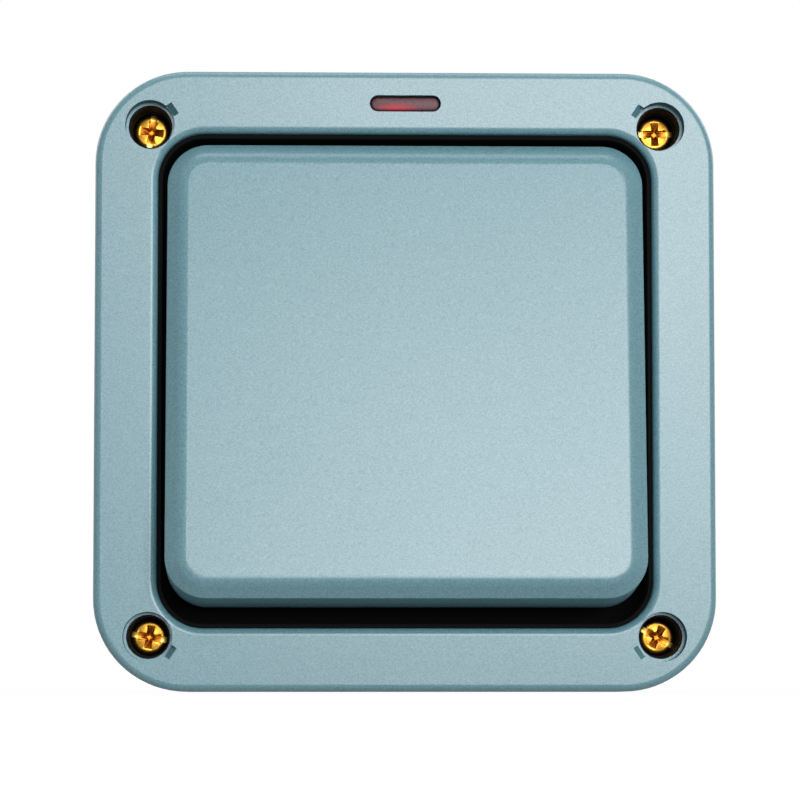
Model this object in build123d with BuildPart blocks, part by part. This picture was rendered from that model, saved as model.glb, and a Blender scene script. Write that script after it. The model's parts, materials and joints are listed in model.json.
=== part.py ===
from build123d import *
import os
from math import cos, radians, sin, tan

# Weatherproof one-gang rocker switch for surface mounting, in millimetres, shown switched off.
# The wall is the plane y = 0, the front faces -Y, +Z is up and the origin is the centre of the back.
# A depth is a distance out from the wall, so Plane.XZ.offset(depth) is the plane at that depth.

# Enclosure outline
plate_side = 97.5
plate_corner = 14.6
draft = 0.5
wall = 2.8
box_depth = 40.0
box_floor = 3.0
seal_height = 1.2
seal_width = 1.9
seal_inset = 0.6
cover_depth = 15.8
face_thickness = 3.0
edge_round = 1.1

# Lip that centres the cover in the box, and ribs that stiffen its band
lip_length = 56.0
lip_thickness = 1.4
lip_reach = 3.2
lip_root = 4.0
lip_clearance = 0.2
rib_thickness = 1.4
rib_offset = 24.0
rib_height = 7.0

# Rocker well in the cover
frame_band = 9.95
well_corner = 7.3
well_edge_round = 1.1
well_wall = 2.0
well_floor = 2.2
well_seal_thickness = 0.6
well_seal_clearance = 0.05
well_seal_below_edge = 0.3

# Screw recesses, cover screws, their seals and inserts
screw_inset = 8.65
rim_radius = 3.88
rim_depth = 3.0
bore_radius = 3.45
bore_depth = 8.3
boss_wall = 1.0
notch_width = 2.1
notch_reach = 0.9
notch_depth = 1.3
notch_angle = 34.0
head_depth = 8.6
head_radius = 2.85
head_height = 2.2
head_bevel = 0.75
head_clearance = 0.12
drive_slot_width = 0.9
drive_slot_depth = 0.8
cross_length = 3.2
cross_width = 0.9
cross_depth = 1.4
screw_radius = 1.75
screw_length = 16.0
screw_hole_clearance = 0.25
thread_clearance = 0.05
screw_seal_height = 0.9
screw_seal_wall = 0.22
screw_seal_sink = 0.25
screw_seal_clearance = 0.03
insert_radius = 2.8
insert_length = 10.0
insert_clearance = 0.03
pillar_wall = 1.4

# Wall fixing, earth terminal and cable knock-outs in the box
fixing_inset = 18.75
fixing_radius = 2.6
wall_seal_radius = 5.0
wall_seal_height = 1.6
wall_seal_sink = 1.0
wall_seal_clearance = 0.05
knockout_radius = 10.2
knockout_groove = 0.8
knockout_cut = 1.4
earth_width = 10.0
earth_height = 8.0
earth_depth = 9.0
earth_inset = 14.75
holder_wall = 1.5
holder_depth = 4.0
holder_clearance = 0.1

# Rocker cap
side_gap = 1.5
end_gap = 2.9
rocker_corner = 6.4
bevel_width = 2.4
bevel_height = 1.85
bevel_round = 2.8
bevel_foot_round = 0.25
rocker_tilt = 6.7
pivot_below_front = 8.7
face_over_pivot = 13.7
skirt_over_pivot = 1.5
skirt_clearance = 0.4
cap_wall = 2.2
cap_top = 2.4
clip_span_x = 32.0
clip_span_z = 20.0
clip_width = 4.0
clip_thickness = 1.6
clip_hook = 0.6
clip_hook_height = 1.4
clip_clearance = 0.15

# Rocker carrier and its hinge
carrier_height = 28.0
carrier_corner = 3.0
carrier_plate = 2.2
carrier_rib = 2.4
carrier_rib_drop = 5.0
arm_thickness = 3.0
arm_root = 16.0
arm_clearance = 0.3
pin_radius = 2.0
pin_overhang = 0.4
bearing_clearance = 0.06
lug_radius = 4.0
lug_thickness = 3.5
lug_gap = 5.6
lug_seal_gap = 0.3
hinge_play = 0.4

# Stem, boot, plunger and spring
stem_radius = 4.2
stem_drop = 13.5
stem_bore_over_pivot = 2.0
boot_clearance = 0.3
boot_skin = 0.9
boot_neck = 2.4
boot_base_radius = 8.2
boot_flange_radius = 11.0
boot_flange = 1.2
boot_hole_clearance = 0.3
plunger_radius = 2.3
plunger_clearance = 0.06
plunger_top_drop = 8.0
plunger_length = 9.0
nose_radius = 1.5
nose_length = 3.0
nose_clearance = 0.1
spring_radius = 1.75
spring_wire_radius = 0.3
spring_wire_sides = 6
spring_turns = 4.5
spring_end_gap = 0.08

# Rocking contact and the silver buttons
rock_angle = 9.0
contact_arm = 10.0
strip_length = 23.5
strip_width = 7.0
strip_thickness = 1.6
strip_under = 0.3
knife_radius = 1.0
knife_clearance = 0.06
cradle_play = 0.25
cradle_ear = 1.0
button_radius = 1.6
button_height = 0.9
button_bevel = 0.5
fixed_button_radius = 1.7
fixed_button_height = 0.9
contact_clearance = 0.05

# Terminals and their screws
tongue_thickness = 1.0
tongue_width = 6.5
block_width = 7.0
block_length = 8.0
block_depth = 7.8
block_clearance = 0.1
block_wall_gap = 1.0
wire_hole_radius = 1.9
wire_hole_sink = 3.4
wire_entry_clearance = 0.3
terminal_screw_radius = 1.5
terminal_head_radius = 2.3
terminal_head_height = 1.5
terminal_slot_width = 0.8
terminal_slot_depth = 0.7
terminal_screw_reach = 3.4

# Switch module
module_width = 40.0
module_height = 46.0
module_corner = 3.0
module_wall = 2.0
base_rear = 1.5
stem_opening = 6.5
post_radius = 3.0
base_screw_inset = 3.4
base_screw_radius = 1.1
base_screw_reach = 8.0
base_head_radius = 2.0
base_head_height = 1.6
base_screw_clearance = 0.05
screw_tip_gap = 1.0
ear_reach = 8.0
ear_width = 10.0
ear_thickness = 3.0
ear_boss_height = 8.0
ear_boss_radius = 3.5
body_screw_radius = 1.5
body_screw_grip = 6.5
body_head_radius = 2.75
body_head_height = 2.0

# Indicator
lens_inset = 5.15
lens_length = 11.2
lens_height = 2.6
lens_sink = 0.6
lens_clearance = 0.15
lens_round = 0.45
lens_flange_length = 13.4
lens_flange_height = 3.6
lens_flange = 1.0
board_length = 18.0
board_height = 3.4
board_thickness = 1.2
board_behind_face = 4.6
board_post_width = 2.0
board_pin_radius = 0.6
board_pin_clearance = 0.05
board_pin_proud = 0.3
lamp_radius = 1.5
lamp_gap = 0.3
resistor_radius = 0.9
resistor_length = 4.0
resistor_offset = 4.0
lead_radius = 0.7
lead_spacing = 5.0
lead_below_lens = 0.7
lead_bend = 2.5
lead_detour = 8.0
lead_clearance = 0.1

# Depths from the wall, worked out from the sizes above
cover_back = box_depth + seal_height
front = cover_back + cover_depth
face_back = front - face_thickness
pivot_depth = front - pivot_below_front
tilt_cos = cos(radians(rocker_tilt))
tilt_sin = sin(radians(rocker_tilt))
well_side = plate_side - 2 * frame_band
rocker_width = well_side - 2 * side_gap
rocker_height = well_side - 2 * end_gap
skirt_low = pivot_depth + skirt_over_pivot * tilt_cos - rocker_height / 2 * tilt_sin
well_seal_face = skirt_low - skirt_clearance
well_floor_top = well_seal_face - well_seal_thickness
floor_back = well_floor_top - well_floor
head_top = front - head_depth
head_seat = head_top - head_height
seal_seat = head_seat - screw_seal_height
screw_tip = head_seat - screw_length
head_well = head_radius + head_clearance
seal_neck = head_well + screw_seal_wall
seal_ledge = front - bore_depth
seal_shoulder = seal_ledge - screw_seal_wall

# Rocking contact: its axis lies under the plunger, one nose clearance and a strip away at mid travel
plunger_tip_drop = plunger_top_drop + plunger_length + nose_length
strip_face = pivot_depth - plunger_tip_drop - nose_clearance
rock_depth = strip_face - strip_thickness - strip_under
rock_cos = cos(radians(rock_angle))
rock_sin = sin(radians(rock_angle))
button_flat = button_radius - button_bevel
button_low = (
    rock_depth
    - (contact_arm + button_flat) * rock_sin
    - (button_height - strip_under) * rock_cos
)
fixed_face = button_low - contact_clearance
fixed_centre = (contact_arm + button_flat / 2) * rock_cos
tongue_face = fixed_face - fixed_button_height
base_face = tongue_face - tongue_thickness
block_back = base_face - block_depth
base_back = block_back - base_rear
wire_depth = base_face - wire_hole_sink

# Positions across the plate
half_pitch = plate_side / 2 - screw_inset
screw_pitch = 2 * half_pitch
corners = [
    (-half_pitch, half_pitch),
    (half_pitch, half_pitch),
    (-half_pitch, -half_pitch),
    (half_pitch, -half_pitch),
]
drive_angles = [82.0, 0.0, -10.0, -29.0]
lug_outer = rocker_width / 2 - cap_wall - lug_gap
lug_inner = lug_outer - lug_thickness
arm_outer = lug_inner - hinge_play
arm_inner = arm_outer - arm_thickness
arm_radius = pivot_depth - well_seal_face - arm_clearance
fixing_pitch = plate_side - 2 * fixing_inset
earth_below_centre = plate_side / 2 - earth_inset
lens_over_centre = plate_side / 2 - lens_inset
ear_centre = module_width / 2 + ear_reach / 2
row_offset = module_height / 2 - module_wall - block_wall_gap - block_length / 2
side_offset = module_width / 2 - module_wall - block_wall_gap - block_length / 2
base_screw_x = module_width - 2 * base_screw_inset
base_screw_z = module_height - 2 * base_screw_inset

# Frames of the tilted pieces: each origin lies on the hinge axis and the normal points to the front
rocker_plane = Plane(origin=(0, -pivot_depth, 0), x_dir=(1, 0, 0), z_dir=(0, -tilt_cos, tilt_sin))
contact_plane = Plane(origin=(0, -rock_depth, 0), x_dir=(1, 0, 0), z_dir=(0, -rock_cos, -rock_sin))


def at_depth(depth):
    return Plane.XZ.offset(depth)


def side_plane(angle):
    """Plane through the axis of the switch that faces one side of it; its local x runs towards the wall."""
    turn = radians(angle)
    return Plane(origin=(0, 0, 0), x_dir=(0, 1, 0), z_dir=(cos(turn), 0, sin(turn)))


# Back box: drafted tray with corner pillars, fixing holes and a knock-out in each side
with BuildPart() as back_box:
    with BuildSketch(at_depth(box_depth)):
        RectangleRounded(plate_side, plate_side, plate_corner)
    extrude(amount=-box_depth, taper=draft)
    with BuildSketch(at_depth(box_depth)):
        RectangleRounded(plate_side - 2 * wall, plate_side - 2 * wall, plate_corner - wall)
    extrude(amount=-(box_depth - box_floor), taper=draft, mode=Mode.SUBTRACT)
    with BuildSketch(at_depth(box_floor)):
        with GridLocations(screw_pitch, screw_pitch, 2, 2):
            Circle(insert_radius + pillar_wall)
    extrude(amount=box_depth - box_floor)
    with BuildSketch(at_depth(box_depth)):
        with GridLocations(screw_pitch, screw_pitch, 2, 2):
            Circle(insert_radius + insert_clearance)
    extrude(amount=-insert_length, mode=Mode.SUBTRACT)
    with BuildSketch(at_depth(box_depth)):
        with GridLocations(screw_pitch, screw_pitch, 2, 2):
            Circle(screw_radius + screw_hole_clearance)
    extrude(amount=-(box_depth - screw_tip + screw_hole_clearance), mode=Mode.SUBTRACT)
    with BuildSketch(at_depth(box_floor)):
        with Locations((0, -earth_below_centre)):
            Rectangle(
                earth_width + 2 * (holder_clearance + holder_wall),
                earth_height + 2 * (holder_clearance + holder_wall),
            )
            Rectangle(
                earth_width + 2 * holder_clearance,
                earth_height + 2 * holder_clearance,
                mode=Mode.SUBTRACT,
            )
    extrude(amount=holder_depth)
    with BuildSketch(at_depth(0)):
        with GridLocations(fixing_pitch, fixing_pitch, 2, 2):
            Circle(fixing_radius)
    extrude(amount=box_floor, mode=Mode.SUBTRACT)
    with BuildSketch(at_depth(box_floor)):
        with GridLocations(fixing_pitch, fixing_pitch, 2, 2):
            Circle(wall_seal_radius + wall_seal_clearance)
    extrude(amount=-wall_seal_sink, mode=Mode.SUBTRACT)
    for angle in (0, 90, 180, 270):
        with BuildSketch(side_plane(angle).offset(plate_side / 2)):
            with Locations((-box_depth / 2, 0)):
                Circle(knockout_radius)
                Circle(knockout_radius - knockout_groove, mode=Mode.SUBTRACT)
        extrude(amount=-(knockout_cut + box_depth / 2 * tan(radians(draft))), mode=Mode.SUBTRACT)
back_box.part.label = "back_box"

# Rubber ring pressed between the rims of box and cover
with BuildPart() as lid_gasket:
    gasket_side = plate_side - 2 * seal_inset
    with BuildSketch(at_depth(box_depth)):
        RectangleRounded(gasket_side, gasket_side, plate_corner - seal_inset)
        RectangleRounded(
            gasket_side - 2 * seal_width,
            gasket_side - 2 * seal_width,
            plate_corner - seal_inset - seal_width,
            mode=Mode.SUBTRACT,
        )
    extrude(amount=seal_height)
lid_gasket.part.label = "lid_gasket"

# Front cover: drafted lid with a sunk well, hinge lugs on its floor and stepped screw recesses
with BuildPart() as front_cover:
    with BuildSketch(at_depth(cover_back)):
        RectangleRounded(plate_side, plate_side, plate_corner)
    extrude(amount=cover_depth, taper=draft)
    fillet(front_cover.faces().sort_by(Axis.Y)[0].edges(), edge_round)
    with BuildSketch(at_depth(cover_back)):
        RectangleRounded(plate_side - 2 * wall, plate_side - 2 * wall, plate_corner - wall)
    extrude(amount=cover_depth - face_thickness, taper=draft, mode=Mode.SUBTRACT)
    with BuildSketch(at_depth(floor_back)):
        RectangleRounded(well_side + 2 * well_wall, well_side + 2 * well_wall, well_corner + well_wall)
    extrude(amount=face_back - floor_back)
    with BuildSketch(at_depth(cover_back)):
        with GridLocations(screw_pitch, screw_pitch, 2, 2):
            Circle(rim_radius + boss_wall)
    extrude(amount=face_back - cover_back)
    with BuildSketch(at_depth(front)):
        RectangleRounded(well_side, well_side, well_corner)
    extrude(amount=well_floor_top - front, mode=Mode.SUBTRACT)
    fillet(front_cover.faces().sort_by(Axis.Y)[0].inner_wires()[0].edges(), well_edge_round)

    # stepped recesses, screw holes and pry notches
    for radius, top, bottom in (
        (rim_radius, front, front - rim_depth),
        (bore_radius, front - rim_depth, seal_shoulder),
        (seal_neck + screw_seal_clearance, seal_shoulder, seal_seat),
        (screw_radius + screw_hole_clearance, seal_seat, cover_back),
    ):
        with BuildSketch(at_depth(top)):
            with GridLocations(screw_pitch, screw_pitch, 2, 2):
                Circle(radius)
        extrude(amount=bottom - top, mode=Mode.SUBTRACT)
    for x, z in corners:
        side_turn = 0.0 if x < 0 else 180.0
        turn = radians(side_turn + notch_angle * (1 if x * z < 0 else -1))
        notch_plane = Plane(
            origin=(x, -front, z),
            x_dir=(cos(turn), 0, sin(turn)),
            z_dir=(-sin(turn), 0, cos(turn)),
        )
        with BuildSketch(notch_plane):
            with BuildLine():
                Polyline(
                    (0, 0),
                    (rim_radius + notch_reach, 0),
                    (rim_radius, notch_depth),
                    (0, notch_depth),
                    close=True,
                )
            make_face()
        extrude(amount=notch_width / 2, both=True, mode=Mode.SUBTRACT)

    # hinge lugs on the floor of the well
    for x in (lug_inner, -lug_outer):
        with BuildSketch(Plane.YZ.offset(x)):
            with Locations((-pivot_depth, 0)):
                Circle(lug_radius)
                Rectangle(pivot_depth - well_floor_top, 2 * lug_radius, align=(Align.MIN, Align.CENTER))
                Circle(pin_radius + bearing_clearance, mode=Mode.SUBTRACT)
        extrude(amount=lug_thickness)

    # opening for the boot, and bosses that hold the switch module
    with BuildSketch(at_depth(well_floor_top)):
        Circle(boot_base_radius + boot_hole_clearance)
    extrude(amount=-well_floor, mode=Mode.SUBTRACT)
    with BuildSketch(at_depth(floor_back)):
        with GridLocations(2 * ear_centre, 0, 2, 1):
            Circle(ear_boss_radius)
            Circle(body_screw_radius + thread_clearance, mode=Mode.SUBTRACT)
    extrude(amount=-ear_boss_height)

    # centring lips on the straight runs, and ribs between the well and the outer wall
    lip_face = plate_side / 2 - wall - lip_clearance
    for angle in (0, 90, 180, 270):
        spot = Rot(0, 0, angle)
        with BuildSketch(at_depth(cover_back)):
            with Locations(spot):
                with Locations((0, lip_face - lip_thickness / 2)):
                    Rectangle(lip_length, lip_thickness)
        extrude(amount=-lip_reach)
        with BuildSketch(at_depth(cover_back)):
            with Locations(spot):
                with Locations((0, lip_face - lip_thickness)):
                    Rectangle(
                        lip_length,
                        lip_thickness + lip_clearance + wall / 2,
                        align=(Align.CENTER, Align.MIN),
                    )
        extrude(amount=lip_root)
        with BuildSketch(at_depth(face_back)):
            with Locations(spot):
                with GridLocations(2 * rib_offset, 0, 2, 1):
                    with Locations((0, well_side / 2 + well_wall / 2)):
                        Rectangle(
                            rib_thickness,
                            frame_band - well_wall / 2 - wall / 2,
                            align=(Align.CENTER, Align.MIN),
                        )
        extrude(amount=-rib_height)

    # window for the indicator and the two staked posts of its board
    with BuildSketch(at_depth(face_back)):
        with Locations((0, lens_over_centre)):
            SlotOverall(lens_length, lens_height)
    extrude(amount=face_thickness, mode=Mode.SUBTRACT)
    with BuildSketch(at_depth(face_back)):
        with Locations((0, lens_over_centre)):
            with GridLocations(board_length - board_post_width, 0, 2, 1):
                Rectangle(board_post_width, board_height)
    extrude(amount=-board_behind_face)
    with BuildSketch(at_depth(face_back - board_behind_face)):
        with Locations((0, lens_over_centre)):
            with GridLocations(board_length - board_post_width, 0, 2, 1):
                Circle(board_pin_radius)
    extrude(amount=-(board_thickness + board_pin_proud))
front_cover.part.label = "front_cover"

# Rubber seal that lines the well, with openings for the hinge lugs and the boot
with BuildPart() as well_seal:
    well_seal_side = well_side - 2 * well_seal_clearance
    well_seal_corner = well_corner - well_seal_clearance
    well_seal_top = front - well_edge_round - well_seal_below_edge
    with BuildSketch(at_depth(well_floor_top)):
        RectangleRounded(well_seal_side, well_seal_side, well_seal_corner)
    extrude(amount=well_seal_top - well_floor_top)
    with BuildSketch(at_depth(well_seal_face)):
        RectangleRounded(
            well_seal_side - 2 * well_seal_thickness,
            well_seal_side - 2 * well_seal_thickness,
            well_seal_corner - well_seal_thickness,
        )
    extrude(amount=well_seal_top - well_seal_face, mode=Mode.SUBTRACT)
    with BuildSketch(at_depth(well_floor_top)):
        Circle(boot_base_radius + boot_hole_clearance)
        with GridLocations(lug_inner + lug_outer, 0, 2, 1):
            Rectangle(lug_thickness + 2 * lug_seal_gap, 2 * (lug_radius + lug_seal_gap))
    extrude(amount=well_seal_thickness, mode=Mode.SUBTRACT)
well_seal.part.label = "well_seal"

# Four cover screws with a slot and cross drive, each turned as it was left
with BuildPart() as cover_screws:
    with BuildSketch(at_depth(head_seat)):
        with Locations(*corners):
            Circle(head_radius)
    extrude(amount=head_height)
    chamfer(cover_screws.edges().filter_by(GeomType.CIRCLE).group_by(Axis.Y)[0], head_bevel)
    with BuildSketch(at_depth(head_seat)):
        with Locations(*corners):
            Circle(screw_radius)
    extrude(amount=-screw_length)
    for corner, angle in zip(corners, drive_angles):
        with BuildSketch(at_depth(head_top)):
            with Locations(corner):
                Rectangle(2 * head_radius, drive_slot_width, rotation=angle)
        extrude(amount=-drive_slot_depth, mode=Mode.SUBTRACT)
        with BuildSketch(at_depth(head_top)):
            with Locations(corner):
                Rectangle(cross_length, cross_width, rotation=angle)
                Rectangle(cross_length, cross_width, rotation=angle + 90)
        extrude(amount=-cross_depth, mode=Mode.SUBTRACT)
cover_screws.part.label = "cover_screws"

# Rubber cups that line the screw recesses, with a washer under each head
seal_sleeve = bore_radius - screw_seal_clearance
seal_rim = front - rim_depth - screw_seal_sink
with BuildPart() as screw_seals:
    for radius, top, bottom, mode in (
        (seal_neck, seal_shoulder, seal_seat, Mode.ADD),
        (seal_sleeve, seal_rim, seal_shoulder, Mode.ADD),
        (seal_sleeve - screw_seal_wall, seal_rim, seal_ledge, Mode.SUBTRACT),
        (head_well, seal_ledge, head_seat, Mode.SUBTRACT),
        (screw_radius + thread_clearance, head_seat, seal_seat, Mode.SUBTRACT),
    ):
        with BuildSketch(at_depth(top)):
            with Locations(*corners):
                Circle(radius)
        extrude(amount=bottom - top, mode=mode)
screw_seals.part.label = "screw_seals"

# Brass inserts in the pillars
with BuildPart() as threaded_inserts:
    with BuildSketch(at_depth(box_depth)):
        with Locations(*corners):
            Circle(insert_radius)
            Circle(screw_radius + thread_clearance, mode=Mode.SUBTRACT)
    extrude(amount=-insert_length)
threaded_inserts.part.label = "threaded_inserts"

# Rubber washers let into the floor at the wall-fixing holes
with BuildPart() as wall_seals:
    with BuildSketch(at_depth(box_floor - wall_seal_sink)):
        with GridLocations(fixing_pitch, fixing_pitch, 2, 2):
            Circle(wall_seal_radius)
            Circle(fixing_radius, mode=Mode.SUBTRACT)
    extrude(amount=wall_seal_height)
wall_seals.part.label = "wall_seals"

# Earth parking terminal in its holder, with its screw
earth_front = box_floor + earth_depth
with BuildPart() as earth_terminal:
    with BuildSketch(at_depth(box_floor)):
        with Locations((0, -earth_below_centre)):
            Rectangle(earth_width, earth_height)
    extrude(amount=earth_depth)
    with BuildSketch(Plane.YZ.offset(-earth_width / 2)):
        with Locations((-(earth_front - wire_hole_sink), -earth_below_centre)):
            Circle(wire_hole_radius)
    extrude(amount=earth_width, mode=Mode.SUBTRACT)
    with BuildSketch(at_depth(earth_front)):
        with Locations((0, -earth_below_centre)):
            Circle(terminal_screw_radius + thread_clearance)
    extrude(amount=-wire_hole_sink, mode=Mode.SUBTRACT)
earth_terminal.part.label = "earth_terminal"

with BuildPart() as earth_screw:
    with BuildSketch(at_depth(earth_front)):
        with Locations((0, -earth_below_centre)):
            Circle(terminal_head_radius)
    extrude(amount=terminal_head_height)
    with BuildSketch(at_depth(earth_front)):
        with Locations((0, -earth_below_centre)):
            Circle(terminal_screw_radius)
    extrude(amount=-wire_hole_sink)
    with BuildSketch(at_depth(earth_front + terminal_head_height)):
        with Locations((0, -earth_below_centre)):
            Rectangle(2 * terminal_head_radius, terminal_slot_width)
    extrude(amount=-terminal_slot_depth, mode=Mode.SUBTRACT)
earth_screw.part.label = "earth_screw"

# Rocker cap: bevelled shell with four clips, tilted about the hinge to its off position
cap_inside = face_over_pivot - cap_top
plate_under = cap_inside - carrier_plate
hook_top = plate_under - clip_clearance
hook_bottom = hook_top - clip_hook_height
with BuildPart() as rocker_cap:
    with BuildSketch(rocker_plane.offset(skirt_over_pivot)):
        RectangleRounded(rocker_width, rocker_height, rocker_corner)
    extrude(amount=face_over_pivot - skirt_over_pivot)
    rocker_axis = Axis(rocker_plane.origin, rocker_plane.z_dir)
    cap_face = rocker_cap.faces().sort_by(rocker_axis)[-1]
    chamfer(cap_face.edges(), length=bevel_width, length2=bevel_height, reference=cap_face)
    bevel_foot = face_over_pivot - bevel_height
    foot_edges = rocker_cap.edges().filter_by_position(
        rocker_axis, bevel_foot - bevel_foot_round, bevel_foot + bevel_foot_round
    )
    fillet(foot_edges, bevel_foot_round)
    fillet(rocker_cap.faces().sort_by(rocker_axis)[-1].edges(), bevel_round)
    with BuildSketch(rocker_plane.offset(skirt_over_pivot)):
        RectangleRounded(rocker_width - 2 * cap_wall, rocker_height - 2 * cap_wall, rocker_corner - cap_wall)
    extrude(amount=cap_inside - skirt_over_pivot, mode=Mode.SUBTRACT)
    with BuildSketch(rocker_plane.offset(cap_inside)):
        with GridLocations(clip_span_x, clip_span_z, 2, 2):
            Rectangle(clip_width, clip_thickness)
    extrude(amount=hook_bottom - cap_inside)
    with BuildSketch(rocker_plane.offset(hook_bottom)):
        with GridLocations(clip_span_x, clip_span_z + clip_thickness + clip_hook, 2, 2):
            Rectangle(clip_width, clip_hook)
    extrude(amount=clip_hook_height)
rocker_cap.part.label = "rocker_cap"

# Rocker carrier: plate under the cap, two arms with hinge pins, and the hollow stem
slot_height = clip_thickness + clip_hook + 2 * clip_clearance
with BuildPart() as rocker_carrier:
    with BuildSketch(rocker_plane.offset(plate_under)):
        RectangleRounded(2 * arm_outer, carrier_height, carrier_corner)
        with GridLocations(clip_span_x, clip_span_z + clip_hook, 2, 2):
            Rectangle(clip_width + 2 * clip_clearance, slot_height, mode=Mode.SUBTRACT)
    extrude(amount=carrier_plate)
    with BuildSketch(rocker_plane.offset(plate_under)):
        Rectangle(2 * arm_outer, carrier_rib)
    extrude(amount=-carrier_rib_drop)
    with BuildSketch(rocker_plane.offset(plate_under)):
        Circle(stem_radius)
    extrude(amount=-(plate_under + stem_drop))
    for side in (1, -1):
        arm_plane = Plane(
            origin=rocker_plane.from_local_coords((side * arm_inner, 0, 0)),
            x_dir=rocker_plane.y_dir,
            z_dir=(side, 0, 0),
        )
        rise = 1 if side > 0 else -1
        with BuildSketch(arm_plane):
            with BuildLine():
                Polyline(
                    (-arm_radius, 0),
                    (-arm_root / 2, rise * plate_under),
                    (arm_root / 2, rise * plate_under),
                    (arm_radius, 0),
                    close=True,
                )
            make_face()
            Circle(arm_radius)
        extrude(amount=arm_thickness)
        with BuildSketch(arm_plane):
            Circle(pin_radius)
        extrude(amount=lug_outer + pin_overhang - arm_inner)
    with BuildSketch(rocker_plane.offset(-stem_drop)):
        Circle(plunger_radius + plunger_clearance)
    extrude(amount=stem_drop + stem_bore_over_pivot, mode=Mode.SUBTRACT)
rocker_carrier.part.label = "rocker_carrier"

# Silicone boot: flange under the well floor, cone through it and a neck at the hinge axis
neck_radius = stem_radius + boot_clearance
with BuildPart() as rocker_boot:
    with BuildSketch(Plane.XY):
        with BuildLine():
            Polyline(
                (boot_base_radius - boot_skin, -(floor_back - boot_flange)),
                (boot_flange_radius, -(floor_back - boot_flange)),
                (boot_flange_radius, -floor_back),
                (boot_base_radius, -floor_back),
                (boot_base_radius, -well_floor_top),
                (neck_radius + boot_skin, -(pivot_depth - boot_neck / 2)),
                (neck_radius + boot_skin, -(pivot_depth + boot_neck / 2)),
                (neck_radius, -(pivot_depth + boot_neck / 2)),
                (neck_radius, -(pivot_depth - boot_neck / 2)),
                (boot_base_radius - boot_skin, -well_floor_top),
                close=True,
            )
        make_face()
    revolve(axis=Axis.Y)
rocker_boot.part.label = "rocker_boot"

# Plunger with its rounded nose, and the spring above it in the stem
nose_start = -(plunger_tip_drop - nose_length)
with BuildPart() as plunger:
    with BuildSketch(rocker_plane.offset(-plunger_top_drop)):
        Circle(plunger_radius)
    extrude(amount=nose_start + plunger_top_drop)
    with BuildSketch(rocker_plane.offset(nose_start)):
        Circle(nose_radius)
    extrude(amount=-(nose_length - nose_radius))
    with Locations(rocker_plane.offset(-(plunger_tip_drop - nose_radius))):
        Sphere(nose_radius)
plunger.part.label = "plunger"

spring_low = -plunger_top_drop + spring_wire_radius + spring_end_gap
spring_high = stem_bore_over_pivot - spring_wire_radius - spring_end_gap
with BuildPart() as plunger_spring:
    with BuildLine() as coil:
        Helix(
            (spring_high - spring_low) / spring_turns,
            spring_high - spring_low,
            spring_radius,
            center=rocker_plane.from_local_coords((0, 0, spring_low)),
            direction=rocker_plane.z_dir,
        )
    with BuildSketch(Plane(origin=coil.line @ 0, z_dir=coil.line % 0)):
        RegularPolygon(spring_wire_radius, spring_wire_sides)
    sweep(is_frenet=True)
plunger_spring.part.label = "plunger_spring"

# Rocking contact strip with a trough over the knife edge, and its two silver buttons
with BuildPart() as contact_strip:
    with BuildSketch(contact_plane.offset(strip_under)):
        SlotOverall(strip_length, strip_width, rotation=90)
    extrude(amount=strip_thickness)
    with BuildSketch(Plane.YZ.offset(-strip_width / 2)):
        with Locations((-rock_depth, 0)):
            Circle(knife_radius + knife_clearance)
    extrude(amount=strip_width, mode=Mode.SUBTRACT)
contact_strip.part.label = "contact_strip"

with BuildPart() as moving_contacts:
    with BuildSketch(contact_plane.offset(strip_under)):
        with GridLocations(0, 2 * contact_arm, 1, 2):
            Circle(button_radius)
    extrude(amount=-button_height)
    contact_axis = Axis(contact_plane.origin, contact_plane.z_dir)
    chamfer(moving_contacts.faces().sort_by(contact_axis)[:2].edges(), button_bevel)
moving_contacts.part.label = "moving_contacts"

with BuildPart() as fixed_contacts:
    with BuildSketch(at_depth(tongue_face)):
        with GridLocations(0, 2 * fixed_centre, 1, 2):
            Circle(fixed_button_radius)
    extrude(amount=fixed_button_height)
fixed_contacts.part.label = "fixed_contacts"


def terminal_solid(angle, offset):
    """Terminal block with its wire hole and screw hole; angle is the side of the module it faces."""
    toward = Rot(0, 0, angle)
    with BuildPart() as block:
        with BuildSketch(at_depth(base_face)):
            with Locations(toward):
                with Locations((offset, 0)):
                    Rectangle(block_length, block_width)
        extrude(amount=-block_depth)
        with BuildSketch(side_plane(angle).offset(offset - block_length / 2)):
            with Locations((-wire_depth, 0)):
                Circle(wire_hole_radius)
        extrude(amount=block_length, mode=Mode.SUBTRACT)
        with BuildSketch(at_depth(block_back)):
            with Locations(toward):
                with Locations((offset, 0)):
                    Circle(terminal_screw_radius + thread_clearance)
        extrude(amount=wire_depth - block_back, mode=Mode.SUBTRACT)
    return block.part


# Switched terminals at the top and bottom, each with a tongue that carries a fixed contact
tongue_inner = fixed_centre - fixed_button_radius
tongue_outer = row_offset + block_length / 2
with BuildPart() as l1_terminal:
    add(terminal_solid(90, row_offset))
    with BuildSketch(at_depth(base_face)):
        with Locations((0, tongue_inner)):
            Rectangle(tongue_width, tongue_outer - tongue_inner, align=(Align.CENTER, Align.MIN))
    extrude(amount=tongue_thickness)
l1_terminal.part.label = "l1_terminal"

with BuildPart() as l2_terminal:
    add(terminal_solid(270, row_offset))
    with BuildSketch(at_depth(base_face)):
        with Locations((0, -tongue_inner)):
            Rectangle(tongue_width, tongue_outer - tongue_inner, align=(Align.CENTER, Align.MAX))
    extrude(amount=tongue_thickness)
l2_terminal.part.label = "l2_terminal"

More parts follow.
